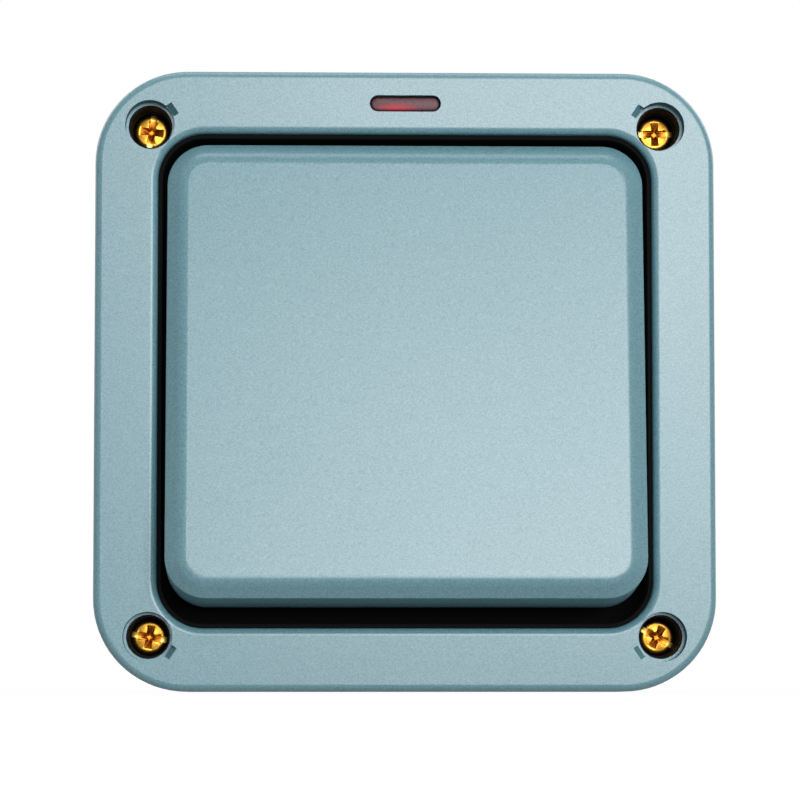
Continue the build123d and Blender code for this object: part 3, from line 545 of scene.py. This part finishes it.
# the painted shade goes into the cross
with_painted_shade = add_node(
    tree,
    "ShaderNodeMix",
    {0: painted_recess_shade.outputs["Value"], COLOUR_A: bright.outputs[COLOUR_OUT], COLOUR_B: linear(PAINTED_RECESS_SHADE)},
    data_type="RGBA",
)
# the painted highlight goes onto the slot's ends
colour = add_node(
    tree,
    "ShaderNodeMix",
    {0: painted_slot_highlight.outputs["Value"], COLOUR_A: with_painted_shade.outputs[COLOUR_OUT], COLOUR_B: linear(PAINTED_SLOT_HIGHLIGHT)},
    data_type="RGBA",
)
gloss = add_node(
    tree,
    "ShaderNodeMapRange",
    {
        "Value": scratches.outputs["Fac"],
        "From Min": NOISE_LOW,
        "From Max": NOISE_HIGH,
        "To Min": SMOOTHEST,
        "To Max": ROUGHEST,
    },
)
skin = add_node(
    tree,
    "ShaderNodeBump",
    {"Height": scratches.outputs["Fac"], "Strength": 0.1, "Distance": SCRATCH_DEPTH},
)
shader = add_node(
    tree,
    "ShaderNodeBsdfPrincipled",
    {
        "Base Color": colour.outputs[COLOUR_OUT],
        "Roughness": gloss.outputs["Result"],
        "Metallic": 1.0,
        "Normal": skin.outputs["Normal"],
    },
)
add_node(tree, "ShaderNodeOutputMaterial", {"Surface": shader.outputs["BSDF"]})
print("made", screw_metal.name)

# %% [markdown]
# All four screws are the same piece, so Geometry Nodes place them: a grid with one point in each corner
# carries a copy of the screw, turned by its own angle, because no two were left at the same angle.
# The sizes are inputs of the tree, so the pattern could be reused on another cover. The tree ends by making
# the copies real, and the result becomes a plain mesh, which is what the frame and the export expect.

# %% Four cover screws: the tree that sets them in the corners
TURNS = {"Turn bottom left": 10.0, "Turn top left": -82.0, "Turn bottom right": 29.0, "Turn top right": 0.0}


def geometry_tree(name, inputs):
    """A tree with one geometry output, its node of named inputs, and the identifiers of these inputs."""
    tree = bpy.data.node_groups.new(name, "GeometryNodeTree")
    identifiers = {}
    for label, kind in inputs.items():
        socket = tree.interface.new_socket(label, in_out="INPUT", socket_type=kind)
        identifiers[label] = socket.identifier
    tree.interface.new_socket("Geometry", in_out="OUTPUT", socket_type="NodeSocketGeometry")
    return tree, add_node(tree, "NodeGroupInput"), identifiers


def end_tree(tree, geometry, finish):
    """Make copies real, give them their finish and hand them out."""
    real = add_node(tree, "GeometryNodeRealizeInstances", {"Geometry": geometry})
    coated = add_node(
        tree,
        "GeometryNodeSetMaterial",
        {"Geometry": real.outputs["Geometry"], "Material": finish},
    )
    add_node(tree, "NodeGroupOutput", {"Geometry": coated.outputs["Geometry"]})


pattern, given, pattern_inputs = geometry_tree(
    "screws_in_corners",
    {
        "Screw": "NodeSocketObject",
        "Pitch": "NodeSocketFloat",
        **dict.fromkeys(TURNS, "NodeSocketFloat"),
        "Finish": "NodeSocketMaterial",
    },
)
grid = add_node(
    pattern,
    "GeometryNodeMeshGrid",
    {
        "Size X": given.outputs["Pitch"],
        "Size Y": given.outputs["Pitch"],
        "Vertices X": 2,
        "Vertices Y": 2,
    },
)
upright = add_node(
    pattern,
    "GeometryNodeTransform",
    {"Geometry": grid.outputs["Mesh"], "Rotation": (math.pi / 2, 0, 0)},
)
which = add_node(pattern, "GeometryNodeInputIndex")
turn = add_node(pattern, "GeometryNodeIndexSwitch", data_type="FLOAT")
while len(turn.index_switch_items) < len(TURNS):
    turn.index_switch_items.new()
pattern.links.new(which.outputs["Index"], turn.inputs["Index"])
for number, label in enumerate(TURNS):
    pattern.links.new(given.outputs[label], turn.inputs[number + 1])
spin = add_node(pattern, "ShaderNodeCombineXYZ", {"Y": turn.outputs[0]})
source = add_node(pattern, "GeometryNodeObjectInfo", {"Object": given.outputs["Screw"]})
copies = add_node(
    pattern,
    "GeometryNodeInstanceOnPoints",
    {
        "Points": upright.outputs["Geometry"],
        "Instance": source.outputs["Geometry"],
        "Rotation": spin.outputs["Vector"],
    },
)
end_tree(pattern, copies.outputs["Instances"], given.outputs["Finish"])
print("tree of", len(pattern.nodes), "nodes with inputs", list(pattern_inputs))


# %% Four cover screws: the plain mesh
def piece_from_tree(name, tree, identifiers, values):
    """A piece that a tree makes from the values of its inputs, as a plain mesh."""
    piece = add_object(name, bpy.data.meshes.new(name))
    maker = piece.modifiers.new(tree.name, "NODES")
    maker.node_group = tree
    for label, value in values.items():
        maker[identifiers[label]] = value
    as_plain_mesh(piece)
    return piece


screw_values = {"Screw": screw, "Pitch": pitch, "Finish": screw_metal}
for label, degrees in TURNS.items():
    screw_values[label] = math.radians(degrees)
cover_screw_set = piece_from_tree("cover_screw_set", pattern, pattern_inputs, screw_values)
bpy.data.objects.remove(screw)
cover_screw_set.data.shade_smooth()
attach(cover_screw_set, "housing")
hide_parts("cover_screws")
print("screw set:", len(cover_screw_set.data.polygons), "faces")

# %% [markdown]
# In the rocker's stem a small coil spring presses the plunger onto the rocking contact. It was wound from
# drawn steel wire, and Geometry Nodes wind it the same way: a spiral gives the path, and a circle swept along
# it gives the wire. It is the one piece that changes its length in use; here it is wound at one length and is
# not tied to the plunger or the stem. Its place is measured from the rocker's pivot, along the way that the
# plunger slides.

# %% Plunger spring: its place in the stem
SPRING_LOW = -7.62 * MM
SPRING_HIGH = 1.62 * MM
SPRING_START = math.radians(-90)
joints = {joint["name"]: joint for joint in frame["joints"]}
pivot = Vector(joints["rocker_tilt"]["pos_m"])
stem_axis = Vector(joints["plunger_slide"]["axis"])
lower_end = pivot + stem_axis * SPRING_LOW
tilt = Matrix.Rotation(math.acos(stem_axis.z), 3, "X") @ Matrix.Rotation(SPRING_START, 3, "Z")

# %% Plunger spring: the tree that winds it, and the plain mesh
SPRING_SIZES = {
    "Radius": 1.75 * MM,
    "Wire radius": 0.3 * MM,
    "Turns": 4.5,
    "Height": SPRING_HIGH - SPRING_LOW,
}
STEPS_PER_TURN = 48
WIRE_SIDES = 12
SMOOTH_BELOW = math.radians(40)
winding, given, winding_inputs = geometry_tree(
    "coil_spring",
    {**dict.fromkeys(SPRING_SIZES, "NodeSocketFloat"), "Finish": "NodeSocketMaterial"},
)
path = add_node(
    winding,
    "GeometryNodeCurveSpiral",
    {
        "Resolution": STEPS_PER_TURN,
        "Rotations": given.outputs["Turns"],
        "Start Radius": given.outputs["Radius"],
        "End Radius": given.outputs["Radius"],
        "Height": given.outputs["Height"],
        "Reverse": True,
    },
)
wire = add_node(
    winding,
    "GeometryNodeCurvePrimitiveCircle",
    {"Resolution": WIRE_SIDES, "Radius": given.outputs["Wire radius"]},
)
coil = add_node(
    winding,
    "GeometryNodeCurveToMesh",
    {"Curve": path.outputs["Curve"], "Profile Curve": wire.outputs["Curve"], "Fill Caps": True},
)
placed = add_node(
    winding,
    "GeometryNodeTransform",
    {"Geometry": coil.outputs["Mesh"], "Translation": lower_end, "Rotation": tilt.to_euler()},
)
end_tree(winding, placed.outputs["Geometry"], given.outputs["Finish"])
spring_values = {**SPRING_SIZES, "Finish": finishes["spring_steel"]}
coil_spring = piece_from_tree("coil_spring", winding, winding_inputs, spring_values)
coil_spring.data.set_sharp_from_angle(angle=SMOOTH_BELOW)
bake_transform(coil_spring)
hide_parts("plunger_spring")
print("spring:", len(coil_spring.data.polygons), "faces")

# %% [markdown]
# The indicator is a small red window of clear polycarbonate with a frosted back. Unlit, it looks dull and
# dark: a greyed maroon. Low in the middle a clearer red patch is painted light, for the light that reaches
# the lamp behind it, and along its rim a near-black is painted shade, for the gap of the window it looks
# into.
# The lens is lofted through a few rounded-end outlines, so that its front edge is rounded and its flange sits
# behind the face, as in the drawing.

# %% Indicator lens: its outlines from back to front
LENS_LENGTH = 10.9 * MM
LENS_HEIGHT = 2.3 * MM
LENS_FLANGE = 1.0 * MM
LENS_ROUND = 0.45 * MM
LENS_CROWN = 0.06 * MM
CROWN_INSET = 0.7 * MM
ARC_STEPS = 16
ROUND_STEPS = 4
lens_low, lens_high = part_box("indicator_lens")
lens_z = (lens_low.z + lens_high.z) / 2


def stadium(length, height, depth):
    """Points of a slot outline with round ends, seen from the front, at one depth."""
    radius = height / 2
    points = []
    for side, start in ((1, -90), (-1, 90)):
        for step in range(ARC_STEPS + 1):
            turn = math.radians(start + 180 * step / ARC_STEPS)
            points.append((
                side * (length / 2 - radius) + radius * math.cos(turn),
                depth,
                lens_z + radius * math.sin(turn),
            ))
    return points


flange_length = lens_high.x - lens_low.x
flange_height = lens_high.z - lens_low.z
flange_front = lens_high.y - LENS_FLANGE
layers = [
    stadium(flange_length, flange_height, lens_high.y),
    stadium(flange_length, flange_height, flange_front),
    stadium(LENS_LENGTH, LENS_HEIGHT, flange_front),
]
for step in range(ROUND_STEPS + 1):
    turn = math.radians(90 * step / ROUND_STEPS)
    inset = LENS_ROUND * (1 - math.cos(turn))
    depth = lens_low.y + LENS_CROWN + LENS_ROUND * (1 - math.sin(turn))
    layers.append(stadium(LENS_LENGTH - 2 * inset, LENS_HEIGHT - 2 * inset, depth))
layers.append(stadium(LENS_LENGTH - 2 * CROWN_INSET, LENS_HEIGHT - 2 * CROWN_INSET, lens_low.y))
print("lens outlines:", len(layers), "at z", round(lens_z / MM, 2), "mm")

# %% Indicator lens: the skin through the outlines
shape = bmesh.new()
loops = [[shape.verts.new(point) for point in layer] for layer in layers]
for first, second in zip(loops, loops[1:]):
    for i in range(len(first)):
        j = (i + 1) % len(first)
        shape.faces.new((first[i], first[j], second[j], second[i]))
shape.faces.new(loops[0])
shape.faces.new(loops[-1])
bmesh.ops.recalc_face_normals(shape, faces=shape.faces)
indicator_window = add_object("indicator_window", bpy.data.meshes.new("indicator_window"))
shape.to_mesh(indicator_window.data)
shape.free()
indicator_window.data.set_sharp_from_angle(angle=SMOOTH_BELOW)
print("lens:", len(indicator_window.data.polygons), "faces")

# %% Red polycarbonate with a frosted back: the painted glow and the painted rim shade
# painted light: a clearer red patch around this place, low in the middle, stands for light reaching the lamp
# behind
GLOW_PLACE = Vector((-1.3 * MM, 0, lens_z - 0.8 * MM))
GLOW_REACH = Vector((4.4 * MM, 1, 1.2 * MM))
LENS_PLACE = Vector((0, lens_low.y, lens_z))
LENS_STRAIGHT = Vector(((LENS_LENGTH - LENS_HEIGHT) / 2, LENS_HEIGHT, 0))
# painted shade: from here outwards the lens darkens to near-black along its rim
RIM_SHADE_FROM, RIM_SHADE_TO = 0.36 * LENS_HEIGHT, 0.48 * LENS_HEIGHT
red_lens, tree = new_material("polycarbonate_moulded_red")
place = add_node(tree, "ShaderNodeTexCoord")
offset = add_node(
    tree,
    "ShaderNodeVectorMath",
    {0: place.outputs["Object"], 1: GLOW_PLACE},
    operation="SUBTRACT",
)
centred = add_node(
    tree,
    "ShaderNodeVectorMath",
    {0: offset.outputs["Vector"], 1: GLOW_REACH},
    operation="DIVIDE",
)
distance = add_node(tree, "ShaderNodeVectorMath", {0: centred.outputs["Vector"]}, operation="LENGTH")
# painted light: the clearer red fades out from the middle of the patch
painted_glow = add_node(
    tree,
    "ShaderNodeMapRange",
    {"Value": distance.outputs["Value"], "To Min": 1.0, "To Max": 0.0},
    interpolation_type="SMOOTHSTEP",
)
from_middle = add_node(
    tree,
    "ShaderNodeVectorMath",
    {0: place.outputs["Object"], 1: LENS_PLACE},
    operation="SUBTRACT",
)
folded = add_node(tree, "ShaderNodeVectorMath", {0: from_middle.outputs["Vector"]}, operation="ABSOLUTE")
past_straight = add_node(
    tree,
    "ShaderNodeVectorMath",
    {0: folded.outputs["Vector"], 1: LENS_STRAIGHT},
    operation="SUBTRACT",
)
outward = add_node(
    tree,
    "ShaderNodeVectorMath",
    {0: past_straight.outputs["Vector"], 1: (0, 0, 0)},
    operation="MAXIMUM",
)
reach = add_node(tree, "ShaderNodeVectorMath", {0: outward.outputs["Vector"]}, operation="LENGTH")
# painted shade: the mask of the near-black along the rim
rim = add_node(
    tree,
    "ShaderNodeMapRange",
    {"Value": reach.outputs["Value"], "From Min": RIM_SHADE_FROM, "From Max": RIM_SHADE_TO},
)
print("dark rim from", round(RIM_SHADE_FROM / MM, 2), "mm off the lens's middle line")

# %% Red polycarbonate with a frosted back: frost, colours and gloss
FROST_DARK, FROST_LIGHT = "#37161D", "#74404A"
# the clearer red is painted light
PAINTED_GLOW_RED = "#D02A44"
# the near-black is painted shade for the gap around the window
PAINTED_RIM_SHADE = "#12070A"
# real frosting is finer; at this size it shows as the mottling that the eye sees
FROST_SIZE = 0.3 * MM
FROST_HEIGHT = 0.02 * MM
FROST_LOW, FROST_HIGH = 0.35, 0.65
frost = add_node(
    tree,
    "ShaderNodeTexNoise",
    {"Vector": place.outputs["Object"], "Scale": 1 / FROST_SIZE, "Detail": 3.0},
)
speck = add_node(
    tree,
    "ShaderNodeMapRange",
    {"Value": frost.outputs["Fac"], "From Min": FROST_LOW, "From Max": FROST_HIGH},
)
dull = add_node(
    tree,
    "ShaderNodeMix",
    {0: speck.outputs["Result"], COLOUR_A: linear(FROST_DARK), COLOUR_B: linear(FROST_LIGHT)},
    data_type="RGBA",
)
# the painted glow is mixed into the frosted maroon
lit = add_node(
    tree,
    "ShaderNodeMix",
    {0: painted_glow.outputs["Result"], COLOUR_A: dull.outputs[COLOUR_OUT], COLOUR_B: linear(PAINTED_GLOW_RED)},
    data_type="RGBA",
)
# the painted rim shade is laid over the rest
colour = add_node(
    tree,
    "ShaderNodeMix",
    {0: rim.outputs["Result"], COLOUR_A: lit.outputs[COLOUR_OUT], COLOUR_B: linear(PAINTED_RIM_SHADE)},
    data_type="RGBA",
)
skin = add_node(
    tree,
    "ShaderNodeBump",
    {"Height": frost.outputs["Fac"], "Strength": 0.4, "Distance": FROST_HEIGHT},
)
shader = add_node(
    tree,
    "ShaderNodeBsdfPrincipled",
    {
        "Base Color": colour.outputs[COLOUR_OUT],
        "Roughness": 0.55,
        "IOR": POLYCARBONATE_IOR,
        "Normal": skin.outputs["Normal"],
    },
)
add_node(tree, "ShaderNodeOutputMaterial", {"Surface": shader.outputs["BSDF"]})
indicator_window.data.materials.append(red_lens)
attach(indicator_window, "housing")
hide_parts("indicator_lens")
print("made", red_lens.name)

# %% [markdown]
# The studio is plain: a pale floor that the switch stands on and white all round. The white of the floor and
# of the surround is shown to camera, glossy and transmission rays only, so that it doesn't flood the switch
# with light; the little light that the floor throws back is that of a grey one. Near the switch a share of
# the floor is a matt paint, which keeps the switch's shadow, and farther out it is white alone.

# %% Floor
FLOOR_SIZE = 3.0
FLOOR_GREY = "#7C7E7E"
FLOOR_BOUNCE = "#3A3C3C"
FLOOR_GLOW = 1.14
FLOOR_WHITE = 0.85
SHADOW_TO, WHITE_FROM = 0.15, 0.45


def seen_directly(tree):
    """One for rays from the camera, a reflection or a transmission, and zero for light."""
    path = add_node(tree, "ShaderNodeLightPath")
    mirror = add_node(
        tree,
        "ShaderNodeMath",
        {0: path.outputs["Is Camera Ray"], 1: path.outputs["Is Glossy Ray"]},
        operation="MAXIMUM",
    )
    return add_node(
        tree,
        "ShaderNodeMath",
        {0: mirror.outputs["Value"], 1: path.outputs["Is Transmission Ray"]},
        operation="MAXIMUM",
    ).outputs["Value"]


half = FLOOR_SIZE / 2
floor_z = cad_box[0].z
square = ((-half, -half), (half, -half), (half, half), (-half, half))
studio_floor = add_object("studio_floor", bpy.data.meshes.new("studio_floor"))
studio_floor.data.from_pydata([(x, y, floor_z) for x, y in square], [], [(0, 1, 2, 3)])
floor_paint, tree = new_material("studio_floor_pale")
matt = add_node(tree, "ShaderNodeBsdfDiffuse", {"Color": linear(FLOOR_GREY)})
white = add_node(tree, "ShaderNodeEmission", {"Color": linear("#FFFFFF"), "Strength": FLOOR_GLOW})
place = add_node(tree, "ShaderNodeTexCoord")
away = add_node(tree, "ShaderNodeVectorMath", {0: place.outputs["Object"]}, operation="LENGTH")
whiteness = add_node(
    tree,
    "ShaderNodeMapRange",
    {
        "Value": away.outputs["Value"],
        "From Min": SHADOW_TO,
        "From Max": WHITE_FROM,
        "To Min": FLOOR_WHITE,
        "To Max": 1.0,
    },
)
shown = add_node(
    tree,
    "ShaderNodeMixShader",
    {0: whiteness.outputs["Result"], 1: matt.outputs["BSDF"], 2: white.outputs["Emission"]},
)
bounce = add_node(tree, "ShaderNodeBsdfDiffuse", {"Color": linear(FLOOR_BOUNCE)})
paint = add_node(
    tree,
    "ShaderNodeMixShader",
    {0: seen_directly(tree), 1: bounce.outputs["BSDF"], 2: shown.outputs["Shader"]},
)
add_node(tree, "ShaderNodeOutputMaterial", {"Surface": paint.outputs["Shader"]})
studio_floor.data.materials.append(floor_paint)
print("floor at z", round(floor_z / MM, 1), "mm")

# %% Surround
AMBIENT_COLOUR = "#DCE8EC"
AMBIENT = 0.05
surround = bpy.data.worlds.new("studio_surround")
surround.use_nodes = True
tree = surround.node_tree
tree.nodes.clear()
fill = add_node(tree, "ShaderNodeBackground", {"Color": linear(AMBIENT_COLOUR), "Strength": AMBIENT})
white = add_node(tree, "ShaderNodeBackground", {"Color": linear("#FFFFFF"), "Strength": 1.0})
backdrop = add_node(
    tree,
    "ShaderNodeMixShader",
    {0: seen_directly(tree), 1: fill.outputs["Background"], 2: white.outputs["Background"]},
)
add_node(tree, "ShaderNodeOutputWorld", {"Surface": backdrop.outputs["Shader"]})
bpy.context.scene.world = surround
print("made", surround.name)

# %% [markdown]
# The main light is a large softbox a little above and to the right of the camera. The textured plastic
# mirrors it as a soft sheen on every face that looks at the camera, while bevels and edges that turn away
# show the deeper colour of the plastic itself. A weaker softbox overhead draws the upper edges, and two
# behind the switch light its sides and its back, so that it can be looked at from anywhere.

# %% Softboxes
SOFTBOX_DISTANCE = 1.2
# degrees to the right, degrees up, side in metres, brightness
SOFTBOXES = {
    "key_softbox": (12.5, 5.0, 0.72, 8.8),
    "top_softbox": (0, 85, 0.9, 1.8),
    "rear_left_softbox": (-130, 30, 0.9, 2.5),
    "rear_right_softbox": (130, 30, 0.9, 2.5),
}


def softbox(name, right, up, size, brightness):
    """A square lamp that faces the switch, at angles in degrees to the right of and above its front."""
    lamp = bpy.data.lights.new(name, "AREA")
    lamp.shape = "SQUARE"
    lamp.size = size
    lamp.energy = brightness * math.pi * size**2
    a, e = math.radians(right), math.radians(up)
    toward = Vector((math.sin(a) * math.cos(e), -math.cos(a) * math.cos(e), math.sin(e)))
    box = add_object(name, lamp)
    box.location = toward * SOFTBOX_DISTANCE
    box.rotation_euler = toward.to_track_quat("Z", "Y").to_euler()
    box.visible_camera = False
    return box


lamps = [softbox(name, *values) for name, values in SOFTBOXES.items()]
print("lamps:", [lamp.name for lamp in lamps])

# %% [markdown]
# The camera stands a little below and to the left of the middle of the switch, about 0.6 m away,
# with a long lens, so that the plate looks almost square. Its place was found by matching the corners and the
# recesses, whose depth shows how far the view is off the axis.

# %% Camera
CAMERA_PLACE = Vector((-18.5, -641.3, -45.2)) * MM
CAMERA_TARGET = Vector((-0.85, -57.0, -3.16)) * MM
SENSOR_WIDTH = 36.0
FOCAL_LENGTH = 168.7
CLIP_START = 10 * MM
view = CAMERA_TARGET - CAMERA_PLACE
camera = add_object("camera", bpy.data.cameras.new("camera"))
camera.data.sensor_fit = "HORIZONTAL"
camera.data.sensor_width = SENSOR_WIDTH
camera.data.lens = FOCAL_LENGTH
camera.data.clip_start = CLIP_START
camera.location = CAMERA_PLACE
camera.rotation_euler = view.to_track_quat("-Z", "Y").to_euler()
bpy.context.scene.camera = camera
bpy.context.scene.view_settings.view_transform = "Standard"
print("camera", round(view.length / MM), "mm from the front")
